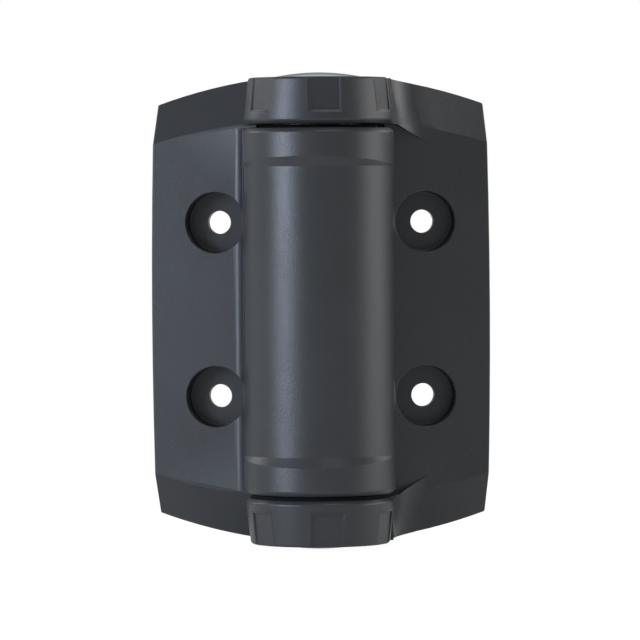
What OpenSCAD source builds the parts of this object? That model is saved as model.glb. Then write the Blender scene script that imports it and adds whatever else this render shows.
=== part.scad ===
// Self-closing gate hinge, moulded in reinforced polymer round a torsion spring.
// Millimetres. Z is the pivot axis and the origin lies on it at mid height.
// The fixed leaf lies flat towards +X with its back on the plane y = back_y.
// The swinging leaf carries the barrel. It is drawn where the free hinge rests, swept back past flat.

/* [Pivot] */
// Outer radius of the barrel
barrel_r = 21.8; // [21.2:0.1:26]
// How far the flat back of the leaves cuts into the round of the knuckles
back_flat = 0.2; // [0.1:0.1:0.6]
// How far the back is set back near the pivot, so that a leaf never stands over the other's mounting face
back_relief = 0.5; // [0.3:0.1:0.8]
// Length of the barrel
barrel_h = 105.4; // [104:0.1:130]
// Height of a knuckle
knuckle_h = 13.4; // [13.2:0.1:20]
// Radius of a knuckle beside the barrel
knuckle_r = 21.5; // [21.2:0.1:27]
// How much a knuckle narrows towards its outer end
knuckle_taper = 1.4; // [0:0.1:1.6]
// Gap between the barrel and each knuckle
end_gap = 1; // [0.6:0.1:2]
// Degrees by which the free hinge rests past flat
free_sweep = 15; // [5:1:20]
// Degrees that the swinging leaf opens from flat
open_angle = 180; // [90:5:180]

/* [Leaves] */
// Distance from the pivot axis to a leaf's outer edge
leaf_reach = 51.5; // [50:0.5:70]
// Thickness of a leaf at its outer edge
edge_thick = 9; // [8:0.5:10]
// Degrees by which the face rises from the outer edge towards the barrel
face_slope = 3.9; // [2:0.1:5]
// How far the leaf's top lies below the knuckle's end, beside the knuckle
shoulder_drop = 0.1; // [0.1:0.1:2]
// How far the leaf's outer corner lies below the knuckle's end
corner_drop = 7.6; // [6:0.1:10]
// Bulge of the leaf's top edge over its chord
top_bulge = 0.8; // [0.3:0.1:1.5]
// Bulge of the leaf's outer edge over its chord
side_bulge = 0.9; // [0.6:0.1:2]
// Thickness of the rim that the bevel leaves at the outer corner
rim_thick = 1.8; // [1.2:0.1:3]
// Thickness of that rim beside the knuckle
rim_root = 2.9; // [1.8:0.1:4]
// Angle between the bevel and the vertical
bevel_angle = 32.3; // [30:0.1:36]
// Bulge of the bevel along the leaf
bevel_bulge = 0.4; // [0.1:0.05:0.8]
// Gap round the barrel and the knuckles where the other leaf turns
leaf_clear = 0.8; // [0.5:0.1:1.2]
// Distance from the pivot axis to the fixed leaf's inner lip
lip_x = 10; // [9:0.5:12]
// Draft of the wall between the barrel and its leaf, in degrees
web_draft = 11; // [8:0.5:14]
// Fillet between that wall and the leaf's face
web_fillet = 3; // [1:0.5:4]

/* [Arms] */
// Distance from the pivot axis at which an arm runs out into the leaf
arm_reach = 34.5; // [32:0.5:36]
// Slope of an arm's lower edge, in degrees
arm_angle = 29.3; // [25:0.1:38]
// Ledge beside the knuckle before that slope starts
arm_ledge = 2.2; // [0.8:0.1:3]

/* [Screw holes] */
// Distance from the pivot axis to the screws
screw_x = 32.3; // [31.5:0.1:36]
// Distance between the two screws of a leaf
screw_pitch = 50.8; // [46:0.1:64]
// Radius of a screw hole
screw_r = 3.4; // [2.5:0.1:4.5]
// Radius of the recess for a screw's head
head_r = 8.8; // [8:0.1:9.5]
// Thickness of the floor under a screw's head
head_floor = 3.4; // [2.5:0.1:5]

/* [Back of the leaves] */
// Depth of the pockets behind a leaf
pocket_depth = 5.5; // [3:0.5:6]
// Thickness of the ribs between the pockets
rib = 1.6; // [1.2:0.1:3]
// Thickness of the wall round the pockets
wall = 2.6; // [2:0.1:4]
// Pockets along a leaf's height
pocket_rows = 7; // [5:1:9]

/* [Barrel front] */
// Depth of the flat recess down the front of the barrel
recess_depth = 1.3; // [0.6:0.1:1.8]
// Height of the collar left at each end of the barrel
collar_h = 8.2; // [6:0.1:12]
// Height of the slope between collar and recess
collar_slope = 2.9; // [1.5:0.1:4]
// Chamfer at the ends of barrel and knuckles
end_chamfer = 1.2; // [0.6:0.1:1.6]

/* [Grip flutes] */
// Width of a flute
flute_w = 8.4; // [6:0.2:10]
// Height of a flute, from the knuckle's end
flute_h = 9.4; // [6:0.2:11]
// Depth of a flute
flute_depth = 0.7; // [0.3:0.1:1]
// Angle between two flutes
flute_pitch = 60; // [45:5:70]

/* [Bearings] */
// Radius of the adjuster's shaft and of the lower pivot
shaft_r = 12.95; // [12.5:0.05:13.2]
// Running clearance of the two shafts in their bushes
run_gap = 0.05; // [0.02:0.01:0.1]
// Clearance round pieces that are pressed into a seat
seat_gap = 0.05; // [0.02:0.01:0.1]
// Wall of the upper bush
bush_wall = 2; // [1.5:0.1:2.5]
// Length of a bush
bush_h = 13.4; // [10:0.1:15]
// Thickness of a thrust washer
washer_h = 0.8; // [0.4:0.1:1.2]
// Thickness of the floor of each knuckle
knuckle_floor = 3; // [2.5:0.1:3.2]

/* [Torsion spring] */
// Diameter of the wire
wire_d = 3.5; // [2.5:0.1:3.6]
// Radius of the coil, at the middle of the wire
coil_r = 13.6; // [13.4:0.1:13.8]
// Turns of the coil
coil_turns = 16; // [12:1:17]
// Radius of the chamber that the spring lies in
chamber_r = 16.5; // [16:0.1:17]
// Bend from the coil to the straight tang at each end
tang_bend = 3.5; // [3:0.1:4]
// Straight length of a tang beyond its bend
tang_l = 1.4; // [1:0.1:2]
// Outer radius of the guide tube inside the coil
guide_r = 11.2; // [10.8:0.1:11.3]
// Wall of the guide tube
guide_wall = 1.6; // [1.2:0.1:2]

/* [Tension lock] */
// Teeth of the lock, one click apart
lock_teeth = 24; // [12:12:24]
// How far the adjuster is pressed down to free its teeth
lock_travel = 2.6; // [2.4:0.1:2.8]
// Height of the teeth
tooth_h = 2; // [1.6:0.1:2.2]
// Width of an adjuster tooth
tooth_w = 1.7; // [1.2:0.1:1.8]
// Length of a tooth
tooth_l = 1.3; // [1:0.1:1.4]
// Clearance round a tooth
tooth_gap = 0.15; // [0.1:0.01:0.2]
// Height of the lip that keeps the adjuster in
lip_h = 0.9; // [0.6:0.1:1.2]
// Width across the flats of the key between adjuster and spring cup
key_flats = 13.8; // [12:0.1:14]
// Clearance round the key
key_gap = 0.1; // [0.05:0.01:0.15]
// Diameter of the lock spring's wire
lock_wire = 1.2; // [0.8:0.1:1.2]
// Radius of the lock spring, at the middle of the wire
lock_coil_r = 5.2; // [5:0.1:5.4]
// Turns of the lock spring
lock_turns = 5; // [3:1:5]
// Width of the screwdriver slot
slot_w = 3; // [2:0.1:4]
// Depth of the screwdriver slot
slot_depth = 2.4; // [1.5:0.1:3]

/* [Caps] */
// Radius of an end cap
cap_r = 16.5; // [16.2:0.1:16.8]
// How far a cap's dome stands over the knuckle's end
cap_proud = 1.8; // [0.6:0.1:2]
// How deep a cap sits in its seat
cap_seat = 1.4; // [1:0.1:1.6]
// Thickness of a retaining ring
clip_h = 0.9; // [0.7:0.1:1]
// Degrees left open in a retaining ring
clip_open = 30; // [20:5:60]

/* [Stop] */
// Degrees that the stop lug takes up
lug_angle = 14; // [10:1:20]
// Height of the stop lug above its knuckle
lug_h = 3.4; // [3:0.1:4]
// Width of the stop lug
lug_w = 2.4; // [1.8:0.1:2.6]

/* [Hidden] */
$fn = 96;
polymer = "#45494f";
polymer_dark = "#2e3136";
acetal = "#e8e4da";
steel = "#b9bcc0";
spring_steel = "#9fa3a8";
zinc = "#8d9196";

// Large arcs are drawn fine enough that their chords leave the true arc by under 0.02 mm
arc_fn = 720;
// Overlap of a cutting shape beyond the face it cuts
cut = 1;

half_barrel = barrel_h / 2;
knuckle_z = half_barrel + end_gap;
end_z = knuckle_z + knuckle_h;
back_y = min(barrel_r, knuckle_r) - back_flat;
inner_r = barrel_r + leaf_clear;
swing_r = knuckle_r + leaf_clear;

// The leaf's top edge and bevel run between a shoulder beside the knuckle and the outer corner
shoulder = [knuckle_r, end_z - shoulder_drop];
corner = [leaf_reach, end_z - corner_drop];
edge_mid = (shoulder + corner) / 2;
edge_chord = norm(corner - shoulder);
edge_normal = [shoulder[1] - corner[1], corner[0] - shoulder[0]] / edge_chord;
top_arc_r = pow(edge_chord, 2) / (8 * top_bulge) + top_bulge / 2;
top_arc_centre = edge_mid + edge_normal * (top_bulge - top_arc_r);
side_arc_r = pow(corner[1], 2) / (2 * side_bulge) + side_bulge / 2;

// In the bevel's own frame Z follows its slope and Y points into the leaf
bevel_y = back_y - (rim_thick + rim_root) / 2;
bevel_fall = (shoulder[1] - corner[1]) * sin(bevel_angle) + (rim_root - rim_thick) * cos(bevel_angle);
bevel_turn = atan(bevel_fall / (corner[0] - shoulder[0]));
bevel_r = pow(corner[0] - shoulder[0], 2) / (8 * bevel_bulge);
bevel_centre = [-bevel_r * sin(bevel_turn), bevel_r * cos(bevel_turn) - bevel_bulge];
function bevel_front(x) = bevel_centre[1] - sqrt(pow(bevel_r, 2) - pow(x - bevel_centre[0], 2));

// The arm's hollows start at the knuckle's side, lean with it, and run out just under the surfaces they meet
arm_blend = arm_reach - knuckle_r;
arm_sink = 0.1;
knuckle_lean = atan(knuckle_taper / knuckle_h);

// The wall that joins the barrel to its leaf, as a line from the barrel's tangent to the leaf's face
// It cuts a hair into the barrel's round, as a wall that only touched it would leave a feather edge.
web_bite = 0.1;
web_top = [-cos(web_draft), -sin(web_draft)] * (barrel_r - web_bite);
face_y0 = back_y - edge_thick - leaf_reach * tan(face_slope);
web_foot_x = (web_top[0] + (web_top[1] - face_y0) * tan(web_draft))
    / (1 - tan(face_slope) * tan(web_draft));
web_foot = [web_foot_x, face_y0 - web_foot_x * tan(face_slope)];
web_corner = 90 + web_draft + face_slope;
web_fillet_run = web_fillet / tan(web_corner / 2);

// Air left between faces that must not rub, along the axis
end_air = 0.2;

// Levels inside the upper knuckle, counted down from its end. The lower knuckle mirrors them.
clip_lip = 0.7;
floor_z = knuckle_z + knuckle_floor;
cap_z = end_z - cap_seat;
clip_z = cap_z - clip_lip - clip_h;
ring_top = clip_z - seat_gap;
hub_lip_z = ring_top - lip_h;
tooth_top = hub_lip_z - end_air;
tooth_z = tooth_top - tooth_h;

// Radii inside the knuckles, from the shaft outwards
hub_step = 0.7;
ring_wall = 1.3;
clip_bite = 0.6;
clip_w = 2.2;
bore_r = shaft_r + run_gap;
hub_r = shaft_r - hub_step;
tooth_tip_r = shaft_r + tooth_l;
travel_r = tooth_tip_r + 2 * tooth_gap;
ring_r = travel_r + ring_wall;
clip_r = ring_r + seat_gap + clip_bite;

// The spring cup takes the adjuster's shaft, which has room to be pressed down
cup_floor = 2.6;
cup_play = 0.4;
cup_hold = 1.2;
cup_gap = 0.6;
cup_bore_gap = 0.35;
upper_bush_z = half_barrel - bush_h;
cup_top = upper_bush_z - 2 * end_air;
cup_floor_z = cup_top - lock_travel - cup_hold;
cup_base_z = cup_floor_z - cup_floor;
cup_r = chamber_r - cup_gap;
cup_inner_r = shaft_r + cup_bore_gap;
shaft_end_z = cup_floor_z + lock_travel + cup_play;

// The lock spring stands on the cup's key in the adjuster's socket
socket_roof = 3.6;
lock_spring_h = 12;
pin_h = 3;
pin_gap = 0.2;
socket_top = tooth_z - socket_roof;
post_top = socket_top - lock_spring_h;

// The lower bush and the spring's anchor are pushed in from the barrel's lower end
anchor_h = 5.6;
anchor_step = 1;
lower_bush_short = 1.6;
anchor_key_w = 5;
anchor_key_l = 1.6;
anchor_key_step = 0.3;
tang_hole_gap = 0.6;
lower_bush_top = -half_barrel + bush_h - lower_bush_short;
anchor_z = lower_bush_top + end_air;
anchor_top = anchor_z + anchor_h;
lower_bore_r = chamber_r + anchor_step;
tang_hole_r = wire_d / 2 + tang_hole_gap;

// The guide tube sits on a spigot at each end
spigot_l = 12;
spigot_gap = 0.2;
guide_seat = 0.1;
spigot_r = guide_r - guide_wall - spigot_gap;

// The torsion spring lies between the anchor and the cup, with a little air at each end
coil_air = 0.3;
coil_low = anchor_top + wire_d / 2 + coil_air;
coil_high = cup_base_z - wire_d / 2 - coil_air;
coil_sides = 6;
coil_rings = 24;
lock_air = 0.15;
lock_low = post_top + lock_wire / 2 + lock_air;
lock_high = socket_top - lock_wire / 2 - lock_air;

// The stop lug hangs from the upper knuckle into a groove in the barrel's end
lug_centre_r = (bore_r + bush_wall + barrel_r) / 2;
lug_middle = 30;
lug_play = 0.3;
groove_gap = 0.3;

flute_angles = [-90, -90 - flute_pitch, -90 + flute_pitch, -90 - 2 * flute_pitch];

// A round hole or boss between two heights
module round_between(r, low, high) {
    translate([0, 0, low])
        cylinder(r = r, h = high - low);
}

// A tube between two heights
module tube_between(outer, inner, low, high) {
    difference() {
        round_between(outer, low, high);
        round_between(inner, low - cut, high + cut);
    }
}

// Part of a flat ring, between two angles
module ring_sector(inner, outer, low, high, from, to) {
    rotate([0, 0, from])
        rotate_extrude(angle = to - from)
            translate([inner, low])
                square([outer - inner, high - low]);
}

// A leaf's outline seen from the front, for a leaf that lies towards +X
module leaf_outline() {
    intersection() {
        translate([0, -shoulder[1]])
            square([leaf_reach, 2 * shoulder[1]]);
        translate([leaf_reach - side_arc_r, 0])
            circle(r = side_arc_r, $fn = arc_fn);
        translate(top_arc_centre)
            circle(r = top_arc_r, $fn = arc_fn);
        translate([top_arc_centre[0], -top_arc_centre[1]])
            circle(r = top_arc_r, $fn = arc_fn);
    }
}

// Raises an outline seen from the front into a block that reaches from a plane behind to one in front
module front_block(behind) {
    translate([0, behind, 0])
        rotate([90, 0, 0])
            linear_extrude(behind + back_y)
                children();
}

// Everything behind a leaf's sloping face
module behind_face() {
    translate([leaf_reach, back_y - edge_thick, 0])
        rotate([0, 0, face_slope])
            translate([-2 * leaf_reach, 0, -end_z])
                cube([3 * leaf_reach, 2 * back_y, 2 * end_z]);
}

// Places its child in the upper bevel's own frame
module in_bevel() {
    translate([edge_mid[0], bevel_y, edge_mid[1]])
        rotate([-bevel_angle, 0, 0])
            children();
}

// Everything behind the upper bevel
module behind_bevel() {
    in_bevel()
        translate([bevel_centre[0], bevel_centre[1], 0])
            cylinder(r = bevel_r, h = 6 * end_z, center = true, $fn = arc_fn);
}

// A leaf before anything is cut from it, with its children added inside its outline
module leaf_blank() {
    intersection() {
        front_block(back_y)
            leaf_outline();
        union() {
            intersection() {
                behind_face();
                behind_bevel();
                mirror([0, 0, 1])
                    behind_bevel();
            }
            children();
        }
    }
}

// Screw holes with their head recesses, as cutting shapes
module screw_cuts() {
    for (side = [-1, 1])
        translate([screw_x, back_y, side * screw_pitch / 2])
            rotate([90, 0, 0]) {
                translate([0, 0, -cut])
                    cylinder(r = screw_r, h = back_y);
                translate([0, 0, head_floor])
                    cylinder(r = head_r, h = back_y);
            }
}

// Pockets that leave ribs and screw bosses behind a leaf, as cutting shapes
module pocket_cuts() {
    left = inner_r + 1.5 * wall;
    right = leaf_reach - side_bulge - wall;
    top = corner[1] - (edge_thick - rim_thick) / tan(bevel_angle) - wall;
    column_w = (right - left - rib) / 2;
    row_h = (2 * top - (pocket_rows - 1) * rib) / pocket_rows;
    difference() {
        for (column = [0, 1])
            for (row = [0 : pocket_rows - 1])
                translate([left + column * (column_w + rib), back_y - pocket_depth, -top + row * (row_h + rib)])
                    cube([column_w, pocket_depth + cut, row_h]);
        for (side = [-1, 1])
            translate([screw_x, back_y + 2 * cut, side * screw_pitch / 2])
                rotate([90, 0, 0])
                    cylinder(r = head_r + wall, h = pocket_depth + 4 * cut);
    }
}

// The section of an arm: solid up to a round hollow that runs out on a surface at the point end
module arm_section(end) {
    level = end[1] + arm_sink - arm_blend;
    difference() {
        translate([end[0] - arm_reach - cut, level])
            square([arm_reach + cut, arm_blend + 2 * back_y]);
        translate([end[0], level])
            circle(r = arm_blend);
    }
}

// The arm that joins the upper knuckle to its leaf. One hollow follows the bevel and one the face.
module arm() {
    start = knuckle_r + arm_ledge;
    run_out = arm_reach - edge_mid[0];
    intersection() {
        front_block(back_y + cut)
            polygon([
                [-cut, knuckle_z],
                [start, knuckle_z],
                [arm_reach, knuckle_z - (arm_reach - start) * tan(arm_angle)],
                [arm_reach, end_z + cut],
                [-cut, end_z + cut]
            ]);
        in_bevel()
            rotate([0, -atan(tan(knuckle_lean) * cos(bevel_angle)), 0])
                linear_extrude(4 * knuckle_h, center = true)
                    arm_section([run_out, bevel_front(run_out)]);
        translate([0, 0, knuckle_z])
            rotate([0, -knuckle_lean, 0])
                linear_extrude(4 * knuckle_h, center = true)
                    arm_section([arm_reach, face_y0 + arm_reach * tan(face_slope)]);
    }
}

// The strip behind the barrel and the knuckles that is set back, as a cutting shape
module relief_cut() {
    translate([-2 * barrel_r, back_y - back_relief, -2 * end_z])
        cube([2 * barrel_r + lip_x, barrel_r, 4 * end_z]);
}

// The upper knuckle's outside, with its flutes
module knuckle() {
    tip_r = knuckle_r - knuckle_taper;
    tip_edge = 0.5;
    flute_foot_r = tip_r + flute_h * tan(knuckle_lean) - flute_depth;
    difference() {
        rotate_extrude()
            polygon([
                [0, knuckle_z],
                [knuckle_r - end_chamfer, knuckle_z],
                [knuckle_r, knuckle_z + end_chamfer],
                [tip_r, end_z - tip_edge],
                [tip_r - tip_edge, end_z],
                [0, end_z]
            ]);
        for (angle = flute_angles)
            rotate([0, 0, angle])
                translate([flute_foot_r, 0, end_z - flute_h])
                    rotate([0, -knuckle_lean, 0])
                        translate([0, -flute_w / 2, 0])
                            cube([knuckle_r, flute_w, 2 * flute_h]);
    }
}

// The seats for a retaining ring and a cap, as a cutting shape for the upper knuckle
module end_seats() {
    round_between(ring_r + seat_gap, tooth_z, end_z);
    round_between(clip_r + seat_gap, clip_z - seat_gap, clip_z + clip_h + seat_gap);
    round_between(cap_r + 2 * seat_gap, cap_z, end_z + cut);
}

module knuckle_leaf() {
    color(polymer)
        difference() {
            union() {
                difference() {
                    leaf_blank() {
                        arm();
                        mirror([0, 0, 1])
                            arm();
                    }
                    round_between(inner_r, -knuckle_z, knuckle_z);
                    translate([-cut, 0, -knuckle_z])
                        cube([lip_x + cut, back_y + cut, 2 * knuckle_z]);
                }
                knuckle();
                mirror([0, 0, 1])
                    knuckle();
                ring_sector(
                    lug_centre_r - lug_w / 2, lug_centre_r + lug_w / 2,
                    knuckle_z - lug_h, knuckle_z,
                    lug_middle - lug_angle / 2, lug_middle + lug_angle / 2);
            }
            relief_cut();
            screw_cuts();
            pocket_cuts();
            round_between(bore_r, knuckle_z - cut, end_z);
            round_between(travel_r, floor_z, end_z);
            end_seats();
            mirror([0, 0, 1]) {
                round_between(bore_r, knuckle_z - cut, end_z);
                round_between(ring_r + seat_gap, floor_z, end_z);
                end_seats();
            }
        }
}

// The barrel's outside: a chamfered cylinder whose front is recessed between two collars
module barrel() {
    flat_z = half_barrel - collar_h - collar_slope;
    intersection() {
        rotate_extrude()
            polygon([
                [0, -half_barrel],
                [barrel_r - end_chamfer, -half_barrel],
                [barrel_r, -half_barrel + end_chamfer],
                [barrel_r, half_barrel - end_chamfer],
                [barrel_r - end_chamfer, half_barrel],
                [0, half_barrel]
            ]);
        translate([0, recess_depth, 0])
            union() {
                round_between(barrel_r, -flat_z, flat_z);
                for (side = [0, 1])
                    mirror([0, 0, side])
                        translate([0, 0, flat_z])
                            cylinder(
                                r1 = barrel_r,
                                r2 = barrel_r + recess_depth * (collar_h + collar_slope + cut) / collar_slope,
                                h = collar_h + collar_slope + cut);
            }
    }
}

// The section of the wall between barrel and leaf, with its fillet on the leaf's face
module web_section() {
    wall_way = [sin(web_draft), -cos(web_draft)];
    face_way = [-cos(face_slope), sin(face_slope)];
    wall_end = web_foot + wall_way * web_fillet_run;
    face_end = web_foot + face_way * web_fillet_run;
    middle = (wall_way + face_way) / norm(wall_way + face_way);
    polygon([
        [0, 0],
        web_top,
        web_foot,
        [web_foot[0], back_y],
        [0, back_y]
    ]);
    difference() {
        polygon([wall_end, face_end, face_end + [0, web_fillet / 2], wall_end + [web_fillet, 0]]);
        translate(web_foot + middle * (web_fillet - web_bite / 4) / sin(web_corner / 2))
            circle(r = web_fillet);
    }
}

// The keys that hold the spring anchor in the barrel, grown by a clearance
module anchor_keys(grow, low, high) {
    for (turn = [90 : 120 : 330])
        rotate([0, 0, turn])
            translate([0, -anchor_key_w / 2 - grow, low])
                cube([lower_bore_r + anchor_key_l + grow, anchor_key_w + 2 * grow, high - low]);
}

module barrel_leaf() {
    color(polymer)
        rotate([0, 0, -free_sweep])
            difference() {
                union() {
                    difference() {
                        mirror([1, 0, 0])
                            leaf_blank();
                        for (side = [0, 1])
                            mirror([0, 0, side])
                                round_between(swing_r, half_barrel, end_z + cut);
                    }
                    barrel();
                    translate([0, 0, -half_barrel])
                        linear_extrude(barrel_h)
                            web_section();
                }
                mirror([1, 0, 0]) {
                    relief_cut();
                    screw_cuts();
                    pocket_cuts();
                }
                round_between(bore_r + bush_wall + seat_gap, upper_bush_z, half_barrel + cut);
                round_between(chamber_r, anchor_top, upper_bush_z);
                round_between(lower_bore_r, -half_barrel - cut, anchor_top);
                anchor_keys(seat_gap, -half_barrel - cut, anchor_top - anchor_key_step);
                stop_groove();
            }
}

// The groove that the stop lug runs in, drawn in the frame of the flat swinging leaf
module stop_groove() {
    rotate([0, 0, free_sweep])
        ring_sector(
            lug_centre_r - lug_w / 2 - groove_gap, lug_centre_r + lug_w / 2 + groove_gap,
            knuckle_z - lug_h - groove_gap, half_barrel + cut,
            lug_middle - lug_angle / 2 - free_sweep - open_angle - lug_play,
            lug_middle + lug_angle / 2 + lug_play);
}

// A domed cap for the upper knuckle, hollow under its middle
module cap() {
    brim_h = 0.7;
    skirt_w = 1.6;
    hollow_h = 0.3;
    dome_h = cap_seat + cap_proud - brim_h;
    dome_r = (pow(cap_r, 2) + pow(dome_h, 2)) / (2 * dome_h);
    skirt_r = ring_r - 2 * seat_gap;
    color(polymer_dark)
        difference() {
            union() {
                intersection() {
                    round_between(cap_r, cap_z, end_z + cap_proud + cut);
                    translate([0, 0, end_z + cap_proud - dome_r])
                        sphere(r = dome_r, $fn = 2 * $fn);
                }
                round_between(skirt_r, cap_z - clip_lip + 2 * seat_gap, cap_z);
            }
            round_between(skirt_r - skirt_w, cap_z - clip_lip, cap_z + hollow_h);
        }
}

module top_cap() {
    cap();
}

module bottom_cap() {
    mirror([0, 0, 1])
        cap();
}

module retaining_rings() {
    color(steel)
        for (side = [0, 1])
            mirror([0, 0, side])
                ring_sector(
                    clip_r - clip_w, clip_r,
                    clip_z, clip_z + clip_h,
                    90 + clip_open / 2, 450 - clip_open / 2);
}

// The toothed ring that is pressed into the upper knuckle
module lock_ring() {
    color(zinc)
        difference() {
            round_between(ring_r, tooth_z, ring_top);
            round_between(hub_r + 2 * tooth_gap, tooth_z - cut, ring_top + cut);
            round_between(shaft_r + tooth_gap, tooth_z - cut, hub_lip_z);
            lock_teeth_block(tooth_gap, tooth_z - cut, hub_lip_z);
        }
}

// The lock's teeth, grown by a clearance
module lock_teeth_block(grow, low, high) {
    for (tooth = [0 : lock_teeth - 1])
        rotate([0, 0, tooth * 360 / lock_teeth])
            translate([hub_r - 1, -tooth_w / 2 - grow, low])
                cube([tooth_tip_r + grow - hub_r + 1, tooth_w + 2 * grow, high - low]);
}

module adjuster() {
    hub_top = cap_z - 4 * end_air;
    color(zinc)
        difference() {
            union() {
                round_between(shaft_r, shaft_end_z, tooth_top);
                lock_teeth_block(0, tooth_z, tooth_top);
                round_between(hub_r, tooth_top, hub_top);
            }
            translate([0, 0, shaft_end_z - cut])
                cylinder(r = (key_flats / 2 + key_gap) / cos(30), h = socket_top - shaft_end_z + cut, $fn = 6);
            translate([-2 * hub_r, -slot_w / 2, hub_top - slot_depth])
                cube([4 * hub_r, slot_w, slot_depth + cut]);
        }
}

module spring_cup() {
    color(acetal)
        difference() {
            union() {
                tube_between(cup_r, cup_inner_r, cup_floor_z, cup_top);
                round_between(cup_r, cup_base_z, cup_floor_z);
                round_between(spigot_r - guide_seat, cup_base_z - spigot_l, cup_base_z);
                translate([0, 0, cup_floor_z])
                    cylinder(r = key_flats / 2 / cos(30), h = post_top - cup_floor_z, $fn = 6);
                round_between(lock_coil_r - lock_wire / 2 - pin_gap, post_top, post_top + pin_h);
            }
            rotate([0, 0, -free_sweep])
                translate([coil_r, -tang_bend, cup_base_z - cut])
                    cylinder(r = tang_hole_r, h = cup_floor + tang_l + cut);
        }
}

module upper_bush() {
    color(acetal)
        tube_between(bore_r + bush_wall, bore_r, upper_bush_z, half_barrel);
}

module lower_bush() {
    color(acetal)
        tube_between(lower_bore_r - seat_gap, bore_r, -half_barrel, lower_bush_top);
}

module upper_washer() {
    outer = lug_centre_r - lug_w / 2 - groove_gap - end_air;
    color(acetal)
        tube_between(outer, bore_r + end_air, half_barrel, half_barrel + washer_h);
}

module lower_washer() {
    outer = knuckle_r - 1.5 * end_chamfer;
    color(acetal)
        tube_between(outer, bore_r + end_air, -knuckle_z, -knuckle_z + washer_h);
}

module spring_anchor() {
    color(acetal)
        rotate([0, 0, -free_sweep])
            difference() {
                union() {
                    round_between(lower_bore_r - seat_gap, anchor_z, anchor_top - guide_seat);
                    anchor_keys(0, anchor_z + anchor_key_step, anchor_top - guide_seat - anchor_key_step);
                    round_between(spigot_r, anchor_z, anchor_top + spigot_l);
                }
                translate([coil_r, tang_bend, anchor_z + 2 * end_air])
                    cylinder(r = tang_hole_r, h = anchor_h);
            }
}

module spring_guide() {
    color(acetal)
        tube_between(guide_r, guide_r - guide_wall, anchor_top, cup_base_z - coil_air);
}

module lower_pivot() {
    pivot_wall = 3;
    pivot_end = 4;
    color(zinc)
        mirror([0, 0, 1])
            difference() {
                union() {
                    round_between(ring_r, floor_z, clip_z - seat_gap);
                    round_between(shaft_r, -lower_bush_top + 2 * end_air, floor_z);
                }
                round_between(shaft_r - pivot_wall, pivot_end - lower_bush_top, clip_z + cut);
            }
}

// Joins rings of points into one closed tube
module tube_through(rings) {
    sides = len(rings[0]);
    last = len(rings) - 1;
    points = [for (ring = rings) for (p = ring) p];
    walls = [
        for (i = [0 : last - 1])
            for (k = [0 : sides - 1])
                let (a = i * sides + k, b = i * sides + (k + 1) % sides)
                for (face = [[a, a + sides, b], [b, a + sides, b + sides]])
                    face
    ];
    ends = [
        for (k = [1 : sides - 2])
            for (face = [[0, k, k + 1], [last * sides, last * sides + k + 1, last * sides + k]])
                face
    ];
    polyhedron(points = points, faces = concat(walls, ends));
}

// A point of a left-hand coil, which turns clockwise as it rises, and its way along the wire
function coil_point(r, angle, z) = [r * cos(angle), -r * sin(angle), z];
function coil_way(angle) = [-sin(angle), -cos(angle), 0];

// A ring of wire: across it lie the coil's radius and the square to radius and way
function wire_ring(middle, angle, way, wire_r) =
    let (out = [cos(angle), -sin(angle), 0], side = cross(way, out))
    [
        for (k = [0 : coil_sides - 1])
            middle + wire_r * (cos(k * 360 / coil_sides) * out + sin(k * 360 / coil_sides) * side)
    ];

// The rings of a coil of whole turns
function coil_wire(r, turns, low, high, wire_r) = [
    for (i = [0 : turns * coil_rings])
        let (angle = i * 360 / coil_rings, z = low + (high - low) * i / (turns * coil_rings))
        wire_ring(coil_point(r, angle, z), angle, coil_way(angle), wire_r)
];

// The bend and the straight tang at a coil's end. way is 1 where the wire leaves upwards and -1 downwards.
function tang_wire(start, way, wire_r) =
    let (turn_steps = [15 : 15 : 90])
    [
        for (turn = turn_steps)
            wire_ring(
                start + tang_bend * (sin(turn) * way * [0, -1, 0] + (1 - cos(turn)) * way * [0, 0, 1]),
                0,
                [0, -cos(turn), sin(turn)],
                wire_r),
        wire_ring(
            start + way * [0, -tang_bend, tang_bend + tang_l],
            0,
            [0, 0, 1],
            wire_r)
    ];

// The least distance between two turns that lie over each other, measured on the coil's own points
function least_gap(r, turns, low, high, wire_d) =
    min([
        for (i = [0 : (turns - 1) * coil_rings])
            let (
                step = (high - low) / (turns * coil_rings),
                here = coil_point(r, i * 360 / coil_rings, low + i * step),
                over = coil_point(r, (i + coil_rings) * 360 / coil_rings, low + (i + coil_rings) * step)
            )
            norm(over - here) - wire_d
    ]);

module torsion_spring() {
    low_end = coil_point(coil_r, 0, coil_low);
    high_end = coil_point(coil_r, 0, coil_high);
    low_tang = tang_wire(low_end, -1, wire_d / 2);
    rings = concat(
        [for (i = [len(low_tang) - 1 : -1 : 0]) low_tang[i]],
        coil_wire(coil_r, coil_turns, coil_low, coil_high, wire_d / 2),
        tang_wire(high_end, 1, wire_d / 2));
    echo(torsion_spring_least_gap = least_gap(coil_r, coil_turns, coil_low, coil_high, wire_d));
    color(spring_steel)
        rotate([0, 0, -free_sweep])
            tube_through(rings);
}

module lock_spring() {
    echo(lock_spring_least_gap = least_gap(lock_coil_r, lock_turns, lock_low, lock_high, lock_wire));
    color(spring_steel)
        tube_through(coil_wire(lock_coil_r, lock_turns, lock_low, lock_high, lock_wire / 2));
}

knuckle_leaf();
barrel_leaf();
top_cap();
bottom_cap();
lock_ring();
retaining_rings();
adjuster();
lock_spring();
spring_cup();
upper_washer();
upper_bush();
torsion_spring();
spring_guide();
spring_anchor();
lower_bush();
lower_washer();
lower_pivot();
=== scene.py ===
"""Looks of a moulded self-closing gate hinge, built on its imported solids.

The two leaves are dressed mouldings with rounded edges, the caps and springs are
surfaces worked out here, and the pieces inside get their own finishes. Everything is
in metres in the row's frame: Z is the pivot axis and the hinge's front faces -Y.
"""

import logging
import math
from dataclasses import dataclass, field
from enum import Enum

import bmesh
import bpy
import numpy as np
from mathutils import Matrix, Vector


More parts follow.
